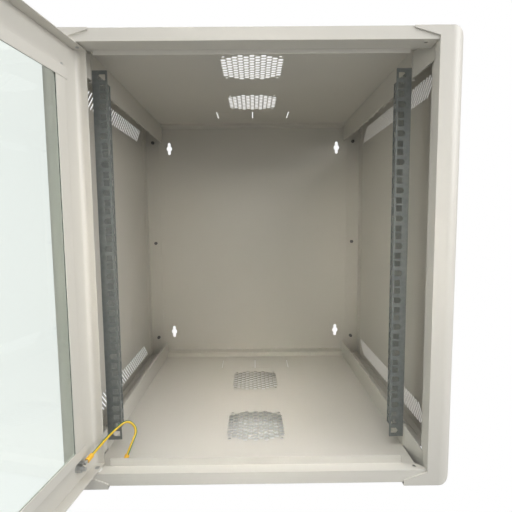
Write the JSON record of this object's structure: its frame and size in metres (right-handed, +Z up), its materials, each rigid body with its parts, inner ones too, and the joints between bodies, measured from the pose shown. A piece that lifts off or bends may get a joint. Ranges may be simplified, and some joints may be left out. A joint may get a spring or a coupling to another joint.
{
  "type": "rack cabinet",
  "caption": "Light grey wall rack cabinet for 19-inch equipment, with adjustable square-hole rails, vented panels and a hinged glass door standing open.",
  "frame": {"origin": "under the middle of the rear skirt, on the surface that the cabinet stands on", "axes": "+X to the right, +Y from the front to the back, +Z up; the door stands open towards -Y"},
  "size_m": [0.6175, 1.0374, 0.67],
  "materials": {
    "light_grey_paint": "fine-textured powder coat",
    "zinc_plate": "zinc plated",
    "chrome_lock": "polished",
    "clear_glass": "clear, slightly green",
    "black_rubber": "matte",
    "white_nylon": "satin",
    "orange_sleeve": "satin",
    "earth_wire_cover": "yellow with a green stripe"
  },
  "bodies": {
    "cabinet": {"back_panel": "light_grey_paint", "bottom_front_beam": "light_grey_paint", "bottom_panel": "light_grey_paint", "earth_wire": "earth_wire_cover", "hinge_washer": "white_nylon", "left_bottom_depth_beam": "light_grey_paint", "left_bottom_gusset": "light_grey_paint", "left_rear_nuts": "zinc_plate", "left_rear_post": "light_grey_paint", "left_rear_studs": "zinc_plate", "left_side_panel": "light_grey_paint", "left_top_depth_beam": "light_grey_paint", "left_top_gusset": "light_grey_paint", "left_upright": "light_grey_paint", "rear_bottom_member": "light_grey_paint", "rear_top_member": "light_grey_paint", "right_bottom_depth_beam": "light_grey_paint", "right_bottom_gusset": "light_grey_paint", "right_rear_nuts": "zinc_plate", "right_rear_post": "light_grey_paint", "right_rear_studs": "zinc_plate", "right_side_panel": "light_grey_paint", "right_top_depth_beam": "light_grey_paint", "right_top_gusset": "light_grey_paint", "right_upright": "light_grey_paint", "sill_earth_lug": "zinc_plate", "sill_earth_nut": "zinc_plate", "sill_earth_sleeve": "orange_sleeve", "sill_earth_stud": "zinc_plate", "top_front_beam": "light_grey_paint", "top_panel": "light_grey_paint", "upper_hinge_pin": "zinc_plate"},
    "door": {"door_pan": "light_grey_paint", "glass_seal": "black_rubber", "door_glass": "clear_glass", "hinge_side_glass_strip": "light_grey_paint", "lock_side_glass_strip": "light_grey_paint", "top_glass_strip": "light_grey_paint", "bottom_glass_strip": "light_grey_paint", "strip_rivets": "zinc_plate", "lower_hinge_pin": "zinc_plate", "lock_barrel": "chrome_lock", "lock_nut": "zinc_plate", "door_earth_stud": "zinc_plate", "door_earth_nut": "zinc_plate", "door_earth_lug": "zinc_plate", "door_earth_sleeve": "orange_sleeve"},
    "lock": {"lock_plug": "chrome_lock", "lock_cam": "zinc_plate", "cam_screw": "zinc_plate"},
    "left_rail": {"left_mounting_rail": "zinc_plate", "left_rail_bolts": "zinc_plate", "left_rail_nuts": "zinc_plate"},
    "right_rail": {"right_mounting_rail": "zinc_plate", "right_rail_bolts": "zinc_plate", "right_rail_nuts": "zinc_plate"}
  },
  "joints": [
    {"name": "door_hinge", "type": "hinge", "parent": "cabinet", "child": "door", "pos_m": [-0.245, -0.53665, 0.338], "axis": [0, 0, 1], "range_deg": [-6, 97], "deforming": ["earth_wire"]},
    {"name": "lock_turn", "type": "hinge", "parent": "door", "child": "lock", "pos_m": [-0.30386, -1.01605, 0.33775], "axis": [-0.9925, 0.1219, 0], "range_deg": [0, 90]},
    {"name": "left_rail_slide", "type": "slide", "parent": "cabinet", "child": "left_rail", "axis": [0, 1, 0], "range_m": [-0.004, 0.012]},
    {"name": "right_rail_slide", "type": "slide", "parent": "cabinet", "child": "right_rail", "axis": [0, 1, 0], "range_m": [-0.004, 0.012]}
  ]
}
